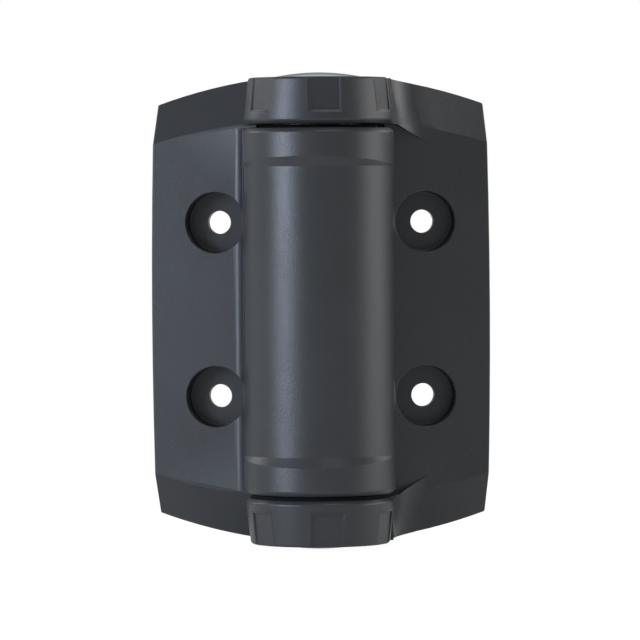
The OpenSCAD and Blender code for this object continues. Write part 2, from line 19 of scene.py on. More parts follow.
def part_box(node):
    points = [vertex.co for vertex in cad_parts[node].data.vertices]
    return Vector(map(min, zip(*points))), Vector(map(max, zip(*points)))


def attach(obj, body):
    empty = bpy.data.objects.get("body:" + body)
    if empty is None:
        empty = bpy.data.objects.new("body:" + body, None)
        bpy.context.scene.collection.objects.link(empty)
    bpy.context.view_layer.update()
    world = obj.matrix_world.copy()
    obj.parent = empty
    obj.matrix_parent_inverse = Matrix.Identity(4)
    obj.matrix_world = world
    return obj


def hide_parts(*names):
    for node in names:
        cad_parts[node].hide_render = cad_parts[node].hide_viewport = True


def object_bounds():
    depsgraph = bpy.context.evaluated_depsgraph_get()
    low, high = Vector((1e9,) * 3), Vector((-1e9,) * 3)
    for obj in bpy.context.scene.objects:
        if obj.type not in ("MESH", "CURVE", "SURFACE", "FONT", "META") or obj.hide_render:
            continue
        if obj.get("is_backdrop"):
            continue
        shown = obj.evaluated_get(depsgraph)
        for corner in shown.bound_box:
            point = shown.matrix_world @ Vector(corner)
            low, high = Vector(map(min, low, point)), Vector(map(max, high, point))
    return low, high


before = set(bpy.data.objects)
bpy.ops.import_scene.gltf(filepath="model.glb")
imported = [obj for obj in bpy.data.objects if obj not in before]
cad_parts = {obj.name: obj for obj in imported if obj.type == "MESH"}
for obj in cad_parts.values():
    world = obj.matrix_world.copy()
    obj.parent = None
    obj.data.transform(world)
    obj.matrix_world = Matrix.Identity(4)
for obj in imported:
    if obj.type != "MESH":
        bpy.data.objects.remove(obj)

LOG = logging.getLogger("hinge")
MM = 0.001
FULL_TURN = 2.0 * math.pi
IMAGE_SIDE = 640
SENSOR_MM = 36.0
CLIP_M = (0.01, 30.0)

# Points of the CAD's meshes closer than this are one, and faces flatter than this are one plane
MERGE_M = 2e-6
FLAT_DEG = 0.3
# A crisp crease turns more than this, and rises less than this share of its length
CREASE_DEG = 1.5
CREASE_RISE = 0.5
# The share of the shortest neighbouring edge that a rounding may take
EDGE_ROOM = 0.4

Tree = bpy.types.NodeTree
Socket = bpy.types.NodeSocket
Colour = tuple[float, float, float, float]


class Body(Enum):
    """The bodies that the pieces ride on."""

    POST_SIDE = "post_side"
    GATE_SIDE = "gate_side"
    TENSION_CUP = "tension_cup"
    LOCK_ADJUSTER = "lock_adjuster"
    UPPER_CAP = "upper_cap"


class Slot(Enum):
    """The record's material slots of the pieces made here."""

    LEAF = "leaf_polymer"
    CAP = "cap_polymer"
    ZINC = "die_cast_zinc"
    RING = "ring_steel"
    SPRING = "spring_steel"


def linear(hex_colour: str) -> Colour:
    """Turns an sRGB hex colour into linear RGBA.

    Args:
        hex_colour: Six hex digits after a hash.

    Returns:
        Linear red, green, blue and an alpha of 1.
    """
    digits = hex_colour.lstrip("#")
    values = [int(digits[i : i + 2], 16) / 255.0 for i in (0, 2, 4)]
    parts = [v / 12.92 if v <= 0.04045 else ((v + 0.055) / 1.055) ** 2.4 for v in values]
    return (parts[0], parts[1], parts[2], 1.0)


def grey(value: float) -> Colour:
    """Makes an RGBA grey, which also carries a number through a colour ramp.

    Args:
        value: The grey's level.

    Returns:
        The level three times, and an alpha of 1.
    """
    return (value, value, value, 1.0)


def blank_tree(owner: bpy.types.Material | bpy.types.World) -> Tree:
    """Gives a material or a world an empty node tree.

    Args:
        owner: The material or world.

    Returns:
        Its node tree.
    """
    owner.use_nodes = True
    owner.node_tree.nodes.clear()
    return owner.node_tree


def add_node(tree: Tree, kind: str, inputs: dict | None = None, **settings) -> bpy.types.Node:
    """Adds a node, sets its properties and fills its inputs.

    Args:
        tree: The node tree that gets the node.
        kind: The node's type name.
        inputs: Input name or number to a value, or to an output socket to link from.
        **settings: Properties of the node itself.

    Returns:
        The new node.
    """
    node = tree.nodes.new(kind)
    for name, value in settings.items():
        setattr(node, name, value)
    for key, value in (inputs or {}).items():
        if isinstance(value, bpy.types.NodeSocket):
            tree.links.new(value, node.inputs[key])
        else:
            node.inputs[key].default_value = value
    return node


def calculate(tree: Tree, operation: str, *values: float | Socket) -> Socket:
    """Adds one step of arithmetic.

    Args:
        tree: The node tree.
        operation: The step, by its name in the Math node.
        *values: What goes in, in order.

    Returns:
        The result.
    """
    inputs = dict(enumerate(values))
    return add_node(tree, "ShaderNodeMath", inputs, operation=operation).outputs["Value"]


def ramp(tree: Tree, source: Socket, stops: list[tuple[float, Colour]]) -> Socket:
    """Maps a number to colours.

    Args:
        tree: The node tree.
        source: The number that is looked up.
        stops: Places from 0 to 1 with their RGBA colours, in rising order.

    Returns:
        The ramp's colour output.
    """
    node = add_node(tree, "ShaderNodeValToRGB", {"Fac": source})
    bar = node.color_ramp.elements
    while len(bar) < len(stops):
        bar.new(0.5)
    for element, (place, colour) in zip(bar, stops):
        element.position = place
        element.color = colour
    return node.outputs["Color"]


def blend(tree: Tree, share: Socket, under: Socket, over: Colour) -> Socket:
    """Lays a colour over another by a share.

    Args:
        tree: The node tree.
        share: 0 where the lower colour shows, and 1 where the upper does.
        under: The lower colour.
        over: The upper colour.

    Returns:
        The blended colour.
    """
    inputs = {"Factor": share, "A": under, "B": over}
    return add_node(tree, "ShaderNodeMix", inputs, data_type="RGBA").outputs["Result"]


def noise(
    tree: Tree,
    place: Socket,
    width_mm: float,
    detail: float,
    roughness: float,
    distortion: float = 0.0,
) -> Socket:
    """Adds a noise whose grains are about as wide as said.

    Args:
        tree: The node tree.
        place: Where the noise is looked up.
        width_mm: Width of a grain.
        detail: How many finer layers there are.
        roughness: How strong the finer layers are.
        distortion: How far the grains are pulled out of shape.

    Returns:
        The noise, about 0.5 on average.
    """
    inputs = {
        "Vector": place,
        "Scale": 1.0 / (width_mm * MM),
        "Detail": detail,
        "Roughness": roughness,
        "Distortion": distortion,
    }
    return add_node(tree, "ShaderNodeTexNoise", inputs).outputs["Fac"]


def bump(
    tree: Tree,
    height: Socket,
    strength: float,
    depth_mm: float,
    under: Socket | None = None,
) -> Socket:
    """Turns a height into a normal.

    Args:
        tree: The node tree.
        height: The height, from 0 to 1.
        strength: How much of the relief shows.
        depth_mm: How deep a height of 1 is.
        under: The normal that the relief is laid over, if there is one.

    Returns:
        The new normal.
    """
    inputs = {"Height": height, "Strength": strength, "Distance": depth_mm * MM}
    if under is not None:
        inputs["Normal"] = under
    return add_node(tree, "ShaderNodeBump", inputs).outputs["Normal"]


def shade(tree: Tree, inputs: dict) -> None:
    """Ends a material with the principled shader.

    Args:
        tree: The material's node tree.
        inputs: The shader's inputs.
    """
    shader = add_node(tree, "ShaderNodeBsdfPrincipled", inputs)
    add_node(tree, "ShaderNodeOutputMaterial", {"Surface": shader.outputs["BSDF"]})


@dataclass(frozen=True)
class WitnessMark:
    """A round mark that an ejector pin or the gate leaves on a moulding.

    Attributes:
        centre_mm: The mark's centre in the row's frame.
        radius_mm: The mark's radius.
        depth_mm: How far it is sunk.
        profile: Height from the centre out, by the share of two radii: a flat floor,
            a raised rim, and the skin.
    """

    centre_mm: tuple[float, float, float]
    radius_mm: float
    depth_mm: float
    profile: tuple[tuple[float, float], ...] = ((0.0, 0.0), (0.42, 0.0), (0.5, 1.0), (0.62, 0.5))

    def sink(self, tree: Tree, place: Socket, skin: Socket) -> Socket:
        """Sinks the mark into a normal.

        Args:
            tree: The node tree.
            place: Object coordinates.
            skin: The normal that the mark is laid over.

        Returns:
            The new normal.
        """
        away = add_node(
            tree,
            "ShaderNodeVectorMath",
            {0: place, 1: tuple(c * MM for c in self.centre_mm)},
            operation="DISTANCE",
        ).outputs["Value"]
        share = add_node(
            tree,
            "ShaderNodeMapRange",
            {"Value": away, "From Min": 0.0, "From Max": 2.0 * self.radius_mm * MM},
        ).outputs["Result"]
        height = ramp(tree, share, [(stop, grey(level)) for stop, level in self.profile])
        return bump(tree, height, strength=0.6, depth_mm=self.depth_mm, under=skin)


@dataclass(frozen=True)
class GripFlutes:
    """The drafted walls of the flutes round the knuckles, as a slope beside each flute.

    Attributes:
        half_mm: Half a flute's width.
        wall_mm: Width of the sloping wall beside it.
        foot_mm: Level where the flutes start, from the hinge's middle.
        drop_mm: How far the wall falls.
        pitch_deg: Angle between two flutes.
        first_deg: Where a flute's middle lies.
        radius_mm: Least and greatest distance of the fluted skin from the pivot axis.
        side_mm: Behind the pivot axis, only what lies further left than this has a flute.
    """

    half_mm: float = 4.2
    wall_mm: float = 0.85
    foot_mm: float = 57.7
    drop_mm: float = 0.34
    pitch_deg: float = 60.0
    first_deg: float = -90.0
    radius_mm: tuple[float, float] = (18.0, 22.0)
    side_mm: float = -8.0

    def soften(self, tree: Tree, place: Socket, skin: Socket) -> Socket:
        """Lays the slopes over a normal.

        The polar angle is folded to the nearest flute, which gives the way across it.
        The surface falls from one wall's width outside the flute to its edge, at the
        sides and at the foot, and stays level elsewhere.

        Args:
            tree: The node tree.
            place: Object coordinates.
            skin: The normal under the slopes.

        Returns:
            The new normal.
        """

        def step(operation: str, *values: float | Socket) -> Socket:
            """Adds one step of arithmetic."""
            return calculate(tree, operation, *values)

        def slope(value: Socket, low: float, high: float) -> Socket:
            """Rises smoothly from 0 at low to 1 at high."""
            inputs = {"Value": value, "From Min": low, "From Max": high}
            node = add_node(tree, "ShaderNodeMapRange", inputs, interpolation_type="SMOOTHSTEP")
            return node.outputs["Result"]

        split = add_node(tree, "ShaderNodeSeparateXYZ", {"Vector": place}).outputs
        x, y, z = split["X"], split["Y"], split["Z"]
        pitch = math.radians(self.pitch_deg)
        # Whole pitches more keep the angle above 0, where it folds evenly
        shift = 2.0 * FULL_TURN - math.radians(self.first_deg) + pitch
        off = step("PINGPONG", step("ADD", step("ARCTAN2", y, x), shift), pitch / 2.0)
        radius = step("SQRT", step("ADD", step("MULTIPLY", x, x), step("MULTIPLY", y, y)))
        across = step("MULTIPLY", step("SINE", off), radius)
        half, wall, foot = self.half_mm * MM, self.wall_mm * MM, self.foot_mm * MM
        outside = slope(across, half, half + wall)
        below = step("SUBTRACT", 1.0, slope(step("ABSOLUTE", z), foot - wall, foot))
        height = step("MAXIMUM", outside, below)
        # Four of the six places have a flute: the back and the arm's side are plain
        front = step("LESS_THAN", y, 0.0)
        fluted = step("MAXIMUM", front, step("LESS_THAN", x, self.side_mm * MM))
        inner, outer = (v * MM for v in self.radius_mm)
        fluted = step("MULTIPLY", fluted, step("GREATER_THAN", radius, inner))
        fluted = step("MULTIPLY", fluted, step("LESS_THAN", radius, outer))
        height = step("MAXIMUM", height, step("SUBTRACT", 1.0, fluted))
        return bump(tree, height, strength=1.0, depth_mm=self.drop_mm, under=skin)


@dataclass(frozen=True)
class FilledNylon:
    """Glass-filled nylon, moulded in a tool with a fine spark-eroded grain.

    The grain scatters light into a broad satin highlight, in which the ends of glass
    fibres glint as smoother specks, whose colour is also painted lighter as a glint.
    Slow drifts in tone and gloss follow the melt's flow into the mould.

    Attributes:
        name: The material's name.
        colour: The polymer's colour.
        fibre_fleck_and_glint: The colour of a glass fibre's end, painted lighter as a glint.
        roughness: Mean roughness of the grained skin.
        grain_mm: Width of the grain. The real one is near 0.1 mm and is drawn coarser,
            so that it shows.
        depth_mm: Depth of the grain.
        fibre_ratio: How many times finer than the grain the fibres' ends are.
        fibre_span: Where the fibres' noise starts to glint, and where it does in full.
        fibre_gloss: How much smoother a fibre's end is than the skin.
        flow_mm: Width of the drifts in tone.
        tone_drift: How far the tone drifts either way, as a share.
        tone_span: The part of the flow's noise over which the tone drifts.
        gloss_drift: How far the roughness drifts down and up.
        gloss_span: The part of the flow's noise over which it does.
        ior: The polymer's index of refraction.
        marks: Round marks of the mould.
        flutes: The grip flutes, where the moulding has them.
    """

    name: str
    colour: str = "#292b2e"
    fibre_fleck_and_glint: str = "#484c51"
    roughness: float = 0.38
    grain_mm: float = 0.36
    depth_mm: float = 0.05
    fibre_ratio: float = 1.45
    fibre_span: tuple[float, float] = (0.66, 0.74)
    fibre_gloss: float = 0.16
    flow_mm: float = 34.0
    tone_drift: float = 0.1
    tone_span: tuple[float, float] = (0.3, 0.7)
    gloss_drift: tuple[float, float] = (0.03, 0.05)
    gloss_span: tuple[float, float] = (0.25, 0.75)
    ior: float = 1.53
    marks: tuple[WitnessMark, ...] = ()
    flutes: GripFlutes | None = None

    def build(self) -> bpy.types.Material:
        """Builds the material from the attributes.

        Returns:
            The new material.
        """
        material = bpy.data.materials.new(self.name)
        tree = blank_tree(material)
        place = add_node(tree, "ShaderNodeTexCoord").outputs["Object"]
        fibre_mm = self.grain_mm / self.fibre_ratio
        grain = noise(tree, place, self.grain_mm, detail=2.0, roughness=0.6)
        fibre = noise(tree, place, fibre_mm, detail=1.0, roughness=0.5)
        flow = noise(tree, place, self.flow_mm, detail=3.0, roughness=0.55, distortion=0.8)
        base = linear(self.colour)
        darker = tuple((1.0 - self.tone_drift) * c for c in base[:3]) + (1.0,)
        lighter = tuple((1.0 + self.tone_drift) * c for c in base[:3]) + (1.0,)
        low, high = self.tone_span
        tone = ramp(tree, flow, [(low, darker), (high, lighter)])
        low, high = self.fibre_span
        glint = ramp(tree, fibre, [(low, grey(0.0)), (high, grey(1.0))])
        # Painted glint: the fibres' specks are blended towards a lighter colour
        colour = blend(tree, glint, tone, linear(self.fibre_fleck_and_glint))
        smooth = grey(self.roughness - self.gloss_drift[0])
        rough = grey(self.roughness + self.gloss_drift[1])
        low, high = self.gloss_span
        dull = ramp(tree, flow, [(low, smooth), (high, rough)])
        gloss = blend(tree, glint, dull, grey(self.roughness - self.fibre_gloss))
        skin = bump(tree, grain, strength=0.9, depth_mm=self.depth_mm)
        for mark in self.marks:
            skin = mark.sink(tree, place, skin)
        if self.flutes:
            skin = self.flutes.soften(tree, place, skin)
        shade(tree, {"Base Color": colour, "Roughness": gloss, "Normal": skin, "IOR": self.ior})
        return material


@dataclass(frozen=True)
class PlainFinish:
    """A metal or a polymer with one grain, which may be drawn out along the pivot axis.

    Attributes:
        name: The material's name.
        light: The colour of the grain's high places.
        dark: The colour of the grain's low places.
        metallic: 1 for a metal and 0 for a polymer.
        roughness: Roughness of the smoothest places.
        spread: How much rougher the roughest places are.
        grain_mm: Width of the grain.
        stretch: How many times longer than wide the grain is along the pivot axis.
        depth_mm: Depth of the grain.
        span: The part of the noise over which colour and roughness change.
        specular: Specular level, 0.5 for an ordinary surface and less for one that
            takes the light into its grain.
    """

    name: str
    light: str
    dark: str
    metallic: float
    roughness: float
    spread: float
    grain_mm: float
    stretch: float = 1.0
    depth_mm: float = 0.01
    span: tuple[float, float] = (0.3, 0.7)
    specular: float = 0.5

    def build(self) -> bpy.types.Material:
        """Builds the material from the attributes.

        Returns:
            The new material.
        """
        material = bpy.data.materials.new(self.name)
        tree = blank_tree(material)
        place = add_node(tree, "ShaderNodeTexCoord").outputs["Object"]
        drawn = add_node(
            tree,
            "ShaderNodeMapping",
            {"Vector": place, "Scale": (1.0, 1.0, 1.0 / self.stretch)},
        ).outputs["Vector"]
        grain = noise(tree, drawn, self.grain_mm, detail=3.0, roughness=0.6)
        low, high = self.span
        rough = grey(self.roughness + self.spread)
        colour = ramp(tree, grain, [(low, linear(self.dark)), (high, linear(self.light))])
        gloss = ramp(tree, grain, [(low, rough), (high, grey(self.roughness))])
        skin = bump(tree, grain, strength=0.4, depth_mm=self.depth_mm)
        shade(
            tree,
            {
                "Base Color": colour,
                "Roughness": gloss,
                "Normal": skin,
                "Metallic": self.metallic,
                "Specular IOR Level": self.specular,
            },
        )
        return material


# Moulded polymer, polished in the tool, so that the dome mirrors more light than the leaves do
CAP_POLYMER = PlainFinish(
    "moulded_cap_polymer", "#26292d", "#1f2226", 0.0, 0.1, 0.04, 1.6, depth_mm=0.006
)
# Zinc alloy as it leaves the die: dull, with a faint cloudy skin
DIE_CAST_ZINC = PlainFinish(
    "die_cast_zinc", "#a6a8a9", "#8b8d90", 1.0, 0.38, 0.16, 0.9, depth_mm=0.02
)
# Stainless strip, rolled and tumbled
RING_STEEL = PlainFinish(
    "rolled_stainless_strip", "#bcbdbd", "#a3a5a7", 1.0, 0.24, 0.12, 0.4, depth_mm=0.006
)
# Drawn spring wire, with a thin grey oxide from its heat treatment
SPRING_WIRE = PlainFinish(
    "drawn_spring_wire", "#9a9c9e", "#7f8286", 1.0, 0.28, 0.14, 0.3, depth_mm=0.008
)
# Natural acetal, moulded: milky white with a waxy gloss
NATURAL_ACETAL = PlainFinish(
    "natural_acetal", "#e2ded3", "#d6d1c4", 0.0, 0.34, 0.1, 0.8, depth_mm=0.006
)
# Black acetal, turned from bar and left matt; its colour is darkened further as painted shade, so
# that the gaps beside the barrel stay dark
BLACK_ACETAL_GAP_SHADE = PlainFinish(
    "black_acetal_gap_shade", "#0d0e0f", "#090a0b", 0.0, 0.8, 0.14, 0.5, depth_mm=0.008, specular=0.15
)


def new_object(
    name: str, mesh: bpy.types.Mesh, material: bpy.types.Material
) -> bpy.types.Object:
    """Puts a mesh into the scene as an object at the origin.

    Args:
        name: The object's name.
        mesh: Its mesh, whose vertices hold its place.
        material: Its finish.

    Returns:
        The new object.
    """
    piece = bpy.data.objects.new(name, mesh)
    bpy.context.scene.collection.objects.link(piece)
    mesh.materials.clear()
    mesh.materials.append(material)
    return piece


def grid_mesh(
    name: str, points: np.ndarray, close_rows: bool = False, close_columns: bool = False
) -> bpy.types.Mesh:
    """Makes a mesh of quads from a grid of points.

    Args:
        name: The mesh's name.
        points: Rows by columns by 3.
        close_rows: Whether the last row joins the first.
        close_columns: Whether the last column joins the first.

    Returns:
        The mesh, shaded smooth.
    """
    rows, columns = points.shape[:2]
    down = np.arange(rows if close_rows else rows - 1)
    across = np.arange(columns if close_columns else columns - 1)
    row, column = (part.ravel() for part in np.meshgrid(down, across, indexing="ij"))
    here, below = row * columns, (row + 1) % rows * columns
    beside = (column + 1) % columns
    faces = np.stack([here + column, here + beside, below + beside, below + column], axis=1)
    mesh = bpy.data.meshes.new(name)
    mesh.from_pydata(points.reshape(-1, 3).tolist(), [], faces.tolist())
    mesh.shade_smooth()
    mesh.update()
    return mesh


def close_and_orient(mesh: bpy.types.Mesh, merge_m: float = 1e-6) -> None:
    """Merges doubled points, closes poles and end loops, and turns all faces outwards.

    Args:
        mesh: The mesh to finish.
        merge_m: Points closer than this become one.
    """
    work = bmesh.new()
    work.from_mesh(mesh)
    bmesh.ops.remove_doubles(work, verts=work.verts, dist=merge_m)
    bmesh.ops.dissolve_degenerate(work, edges=work.edges, dist=merge_m)
    rims = [edge for edge in work.edges if edge.is_boundary]
    if rims:
        bmesh.ops.holes_fill(work, edges=rims, sides=0)
    bmesh.ops.recalc_face_normals(work, faces=work.faces)
    work.to_mesh(mesh)
    work.free()
    mesh.update()


@dataclass(frozen=True)
class EdgeZone:
    """A ring-shaped region round the pivot axis whose edges have a radius of their own.

    Attributes:
        width_mm: Width of the rounding.
        radius_mm: Least and greatest distance from the pivot axis.
        level_mm: Least and greatest distance from the hinge's middle height.
    """

    width_mm: float
    radius_mm: tuple[float, float]
    level_mm: tuple[float, float]

    def holds(self, middles: np.ndarray) -> np.ndarray:
        """Tells which edges lie in the zone.

        Args:
            middles: The edges' middles, in metres.

        Returns:
            Whether each edge does.
        """
        radius = np.hypot(middles[:, 0], middles[:, 1]) / MM
        level = np.abs(middles[:, 2]) / MM
        inside = (radius >= self.radius_mm[0]) & (radius < self.radius_mm[1])
        return inside & (level >= self.level_mm[0]) & (level < self.level_mm[1])


ROUND_ZONES = (
    # The bores, and all that lies inside the barrel's wall
    EdgeZone(0.15, (0.0, 17.8), (0.0, 80.0)),
    # The ends of barrel and knuckles, at their bores and at their outsides
    EdgeZone(0.15, (17.8, 20.1), (48.0, 56.0)),
    EdgeZone(0.4, (20.1, 21.85), (50.9, 55.3)),
    # The shallow grip flutes, and the knuckles' outer ends
    EdgeZone(0.1, (18.5, 21.9), (55.5, 66.3)),
    EdgeZone(0.2, (17.8, 21.4), (66.3, 70.0)),
)
# The arms run out into the leaf without a radius
KNUCKLE_ZONES = ROUND_ZONES + (EdgeZone(0.0, (21.6, 37.0), (44.0, 70.0)),)
# So do the web's ends and root, and the ends of the barrel's recess
BARREL_ZONES = ROUND_ZONES + (
    EdgeZone(0.0, (21.85, 28.0), (50.0, 54.0)),
    EdgeZone(0.0, (18.6, 21.95), (0.0, 49.0)),
)
# The slopes between the recess and its collars turn only a little, and are crisp all the same
COLLAR_CREASE = EdgeZone(0.0, (18.6, 21.95), (38.0, 48.5))


@dataclass
class Moulding:
    """A CAD node dressed with the small edge radius that its tool or die gave it.

    Attributes:
        node: The CAD node.
        body: The body it rides on.
        slot: Its record slot, which is not used.
        edge_mm: Width of the rounded edges.
        segments: Facets across a rounded edge.
        sharp_deg: Edges that turn more than this are rounded.
        blend_deg: Where the rounding's width is 0, edges that turn less than this are
            shaded as one surface.
        zones: Regions whose edges have another radius.
        crease: The region whose shallow creases stay crisp, if there is one.
    """

    node: str
    body: Body
    slot: Slot
    edge_mm: float = 0.4
    segments: int = 3
    sharp_deg: float = 24.0
    blend_deg: float = 50.0
    zones: tuple[EdgeZone, ...] = ()
    crease: EdgeZone | None = None

    def crisp(self, middles: np.ndarray, ways: np.ndarray, turns: np.ndarray) -> np.ndarray:
        """Picks the shallow creases that stay crisp.

        They lie in the crease's zone, turn by more than CREASE_DEG, and run more round
        the barrel than along it.

        Args:
            middles: The edges' middles, in metres.
            ways: The edges' directions, with their lengths.
            turns: The angle between the faces at each edge.

        Returns:
            Whether each edge is such a crease.
        """
        if self.crease is None:
            return np.zeros(len(middles), dtype=bool)
        folded = turns > math.radians(CREASE_DEG)
        level = np.abs(ways[:, 2]) < CREASE_RISE * np.linalg.norm(ways, axis=1)
        return self.crease.holds(middles) & folded & level

    def widths(self, middles: np.ndarray) -> np.ndarray:
        """Looks up how wide each edge's rounding is.

        The last zone that an edge's middle lies in decides.

        Args:
            middles: The edges' middles, in metres.

        Returns:
            A width in millimetres for each edge.
        """
        width = np.full(len(middles), self.edge_mm)
        for zone in self.zones:
            width[zone.holds(middles)] = zone.width_mm
        return width

    def bare_copy(self) -> bpy.types.Mesh:
        """Copies the node's mesh without the shading normals that were loaded with it.

        Returns:
            The copy.
        """
        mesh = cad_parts[self.node].data.copy()
        mesh.name = self.node + "_skin"
        loaded = mesh.attributes.get("custom_normal")
        if loaded is not None:
            mesh.attributes.remove(loaded)
        return mesh

    def weigh(self, work: bmesh.types.BMesh) -> float:
        """Gives each sharp edge its rounding's share of the widest one.

        A rounding takes at most EDGE_ROOM of the shortest edge beside it, so that two
        never meet.

        Args:
            work: The mesh that is worked on.

        Returns:
            The widest rounding in millimetres.
        """
        weight = work.edges.layers.float.new("bevel_weight_edge")
        joined = [edge for edge in work.edges if edge.is_manifold]
        turns = np.array([edge.calc_face_angle() for edge in joined])
        ends = np.array([[vert.co for vert in edge.verts] for edge in joined])
        middles, ways = ends.sum(axis=1) / 2.0, ends[:, 1] - ends[:, 0]
        crisp, widths = self.crisp(middles, ways, turns), self.widths(middles)
        sharp = turns > math.radians(self.sharp_deg)
        merged = (widths == 0.0) & ~crisp & (turns < math.radians(self.blend_deg))
        widest = float(widths[sharp].max())
        for index in np.flatnonzero(sharp | crisp):
            edge = joined[index]
            edge.smooth = bool(sharp[index] and merged[index])
            if sharp[index]:
                around = (other for vert in edge.verts for other in vert.link_edges)
                shortest = min(other.calc_length() for other in around if other is not edge)
                room = EDGE_ROOM * shortest / MM
                edge[weight] = min(float(widths[index]), room) / widest
        return widest

    def build(self, material: bpy.types.Material) -> bpy.types.Object:
        """Makes the rounded copy that stands for the node.

        Args:
            material: The finish.

        Returns:
            The new piece.
        """
        mesh = self.bare_copy()
        work = bmesh.new()
        work.from_mesh(mesh)
        bmesh.ops.remove_doubles(work, verts=work.verts, dist=MERGE_M)
        flat = math.radians(FLAT_DEG)
        bmesh.ops.dissolve_limit(work, angle_limit=flat, verts=work.verts, edges=work.edges)
        widest = self.weigh(work)
        work.to_mesh(mesh)
        work.free()
        mesh.shade_smooth()
        piece = new_object(self.node + "_skin", mesh, material)
        rounding = piece.modifiers.new("rounded_edges", "BEVEL")
        rounding.width = widest * MM
        rounding.segments = self.segments
        rounding.limit_method = "WEIGHT"
        rounding.use_clamp_overlap = False
        rounding.harden_normals = True
        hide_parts(self.node)
        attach(piece, self.body.value)
        LOG.info("%s rides on %s", piece.name, self.body.value)
        return piece


@dataclass
class EndCap:
    """A domed cap, turned as one surface.

    Attributes:
        node: The CAD node it stands for.
        body: The body it rides on.
        up: 1 for the upper cap and -1 for the lower.
        rim_mm: Radius that breaks the edge between dome and side.
        rim_deg: Where on its circle the rim starts from the dome.
        brim_mm: Height of the straight side.
        seat_mm: Height of the flat underside above the skirt's end.
        inset_mm: How far the skirt stands in from the side.
        wall_mm: Thickness of the skirt.
        hollow_mm: How far the hollow inside the skirt goes above the underside.
        sink_mm: How far the crown stays under the solid's, as the photograph shows it.
        crease_deg: Edges that turn more than this are shaded sharp.
        dome_points: Points from the crown to the rim.
        rim_points: Points round the rim.
        steps: Facets round the cap.
    """

    node: str
    body: Body
    up: float
    rim_mm: float = 0.35
    rim_deg: float = 80.0
    brim_mm: float = 0.7
    seat_mm: float = 0.6
    inset_mm: float = 0.9
    wall_mm: float = 1.6
    hollow_mm: float = 0.3
    sink_mm: float = 0.3
    crease_deg: float = 40.0
    dome_points: int = 28
    rim_points: int = 7
    steps: int = 160

    def profile(self, radius: float, low: float, seat: float, high: float) -> np.ndarray:
        """Works out the cap's half section, from the crown down and back to the axis.

        The dome is an arc through the crown and the rim: height falls with the square
        of the radius. A part of a circle breaks the rim, and the side, the underside
        and the skirt follow.

        Args:
            radius: The cap's radius.
            low: The skirt's lower end.
            seat: The level of the flat underside.
            high: The crown's level.

        Returns:
            Points of radius and height.
        """
        rim = self.rim_mm * MM
        brim = seat + self.brim_mm * MM
        across = np.linspace(0.0, radius - rim, self.dome_points)
        fall = (high - brim) / radius**2
        dome = np.stack([across, high - fall * across**2], axis=1)
        turn = np.linspace(math.radians(self.rim_deg), 0.0, self.rim_points)
        centre = np.array([radius - rim, dome[-1, 1] - rim])
        edge = centre + rim * np.stack([np.cos(turn), np.sin(turn)], axis=1)
        outer = radius - self.inset_mm * MM
        inner, roof = outer - self.wall_mm * MM, seat + self.hollow_mm * MM
        under = np.array(
            [[radius, seat], [outer, seat], [outer, low], [inner, low], [inner, roof], [0.0, roof]]
        )
        return np.vstack([dome, edge, under])

    def build(self, material: bpy.types.Material) -> bpy.types.Object:
        """Turns the profile about the pivot axis.

        Args:
            material: The finish.

        Returns:
            The new piece.
        """
        low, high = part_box(self.node)
        base, crown = (low.z, high.z) if self.up > 0 else (-high.z, -low.z)
        half = self.profile(high.x, base, base + self.seat_mm * MM, crown - self.sink_mm * MM)
        angle = np.linspace(0.0, FULL_TURN, self.steps, endpoint=False)[:, None]
        out, level = half[None, :, 0], self.up * half[None, :, 1]
        level = np.broadcast_to(level, (self.steps, len(half)))
        points = np.stack([out * np.cos(angle), out * np.sin(angle), level], axis=2)
        mesh = grid_mesh(self.node + "_dome", points, close_rows=True)
        close_and_orient(mesh)
        mesh.set_sharp_from_angle(angle=math.radians(self.crease_deg))
        piece = new_object(self.node + "_dome", mesh, material)
        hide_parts(self.node)
        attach(piece, self.body.value)
        LOG.info("%s rides on %s", piece.name, self.body.value)
        return piece


